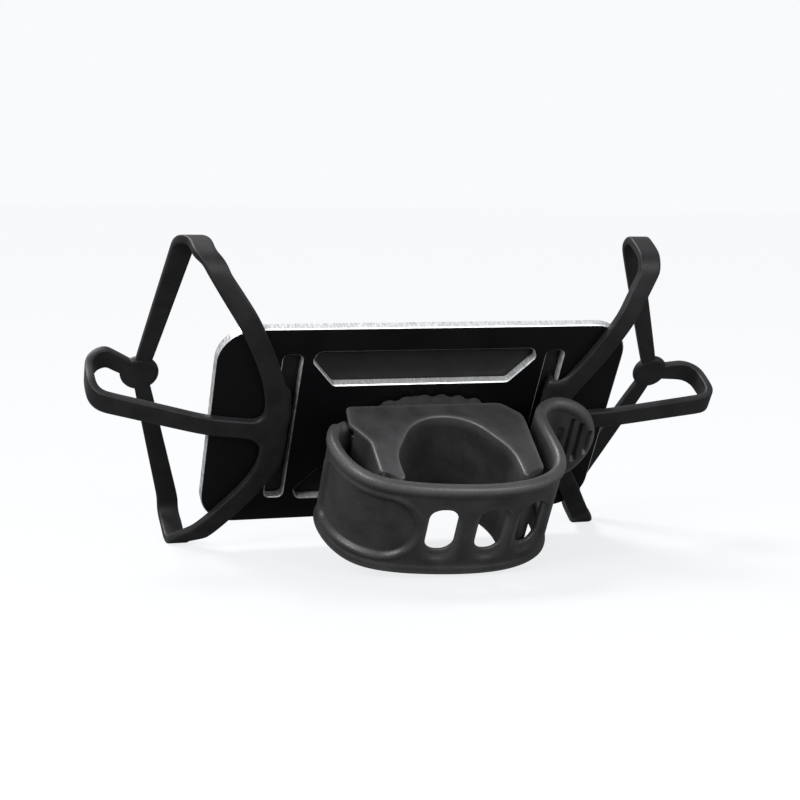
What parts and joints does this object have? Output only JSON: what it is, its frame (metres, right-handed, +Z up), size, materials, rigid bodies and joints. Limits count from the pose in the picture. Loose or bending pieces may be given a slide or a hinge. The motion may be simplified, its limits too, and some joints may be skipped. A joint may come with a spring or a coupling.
{
  "type": "phone handlebar mount",
  "caption": "Phone mount for a handlebar: slotted aluminium tray with stretched silicone bands, turning on a rubber saddle that is closed by a perforated rubber strap with a pull tab.",
  "frame": {"origin": "on the surface that the mount stands on, below the middle of its box", "axes": "+X along the tray, +Z up, -Y towards the clamp; the tray leans 30.47 degrees towards -Y, resting on the strap's front edge and the two lower band arms"},
  "size_m": [0.16, 0.0748, 0.0768],
  "materials": {
    "anodised_plate": "black satin anodised faces, bright machined edges",
    "pad_rubber": "thin ribbed rubber sheet",
    "band_silicone": "matt black silicone with a faint dust",
    "saddle_rubber": "dark grey moulded rubber, satin",
    "strap_rubber": "dark grey moulded rubber, satin, soft bright rims",
    "black_nylon": "moulded black nylon",
    "acetal": "natural acetal",
    "plated_steel": "zinc plated steel",
    "brass_insert": "turned brass"
  },
  "bodies": {
    "clamp": {"base_collar": "black_nylon", "collar_screws": "plated_steel", "saddle_core": "black_nylon", "saddle_cover": "saddle_rubber", "strap_hook": "black_nylon", "hook_screws": "plated_steel", "strap_pin": "plated_steel", "pivot_screw": "plated_steel", "pivot_insert": "brass_insert", "wave_washer": "plated_steel", "flat_washer": "plated_steel"},
    "tray": {"mount_plate": "anodised_plate", "grip_pad": "pad_rubber", "swivel_bush": "acetal", "thrust_washer": "acetal", "band_left": "band_silicone", "band_right": "band_silicone"},
    "strap": {"strap_front": "strap_rubber", "strap_sleeve": "acetal"},
    "strap_tail": {"strap_end": "strap_rubber"}
  },
  "joints": [
    {"name": "tray_swivel", "type": "hinge", "parent": "clamp", "child": "tray", "pos_m": [-0.0025, 0.00347, 0.03135], "axis": [0, 0.8619, 0.5071], "continuous": true},
    {"name": "strap_swing", "type": "hinge", "parent": "clamp", "child": "strap", "pos_m": [-0.0201, -0.00704, 0.02516], "axis": [0, 0.5071, -0.8619], "range_deg": [0, 36]},
    {"name": "strap_bend", "type": "hinge", "parent": "strap", "child": "strap_tail", "pos_m": [0.02088, -0.02674, 0.01357], "axis": [0, 0.5071, -0.8619], "range_deg": [0, 108]}
  ],
  "couplings": [
    {"joint": "strap_bend", "follows": "strap_swing", "ratio": 3}
  ]
}
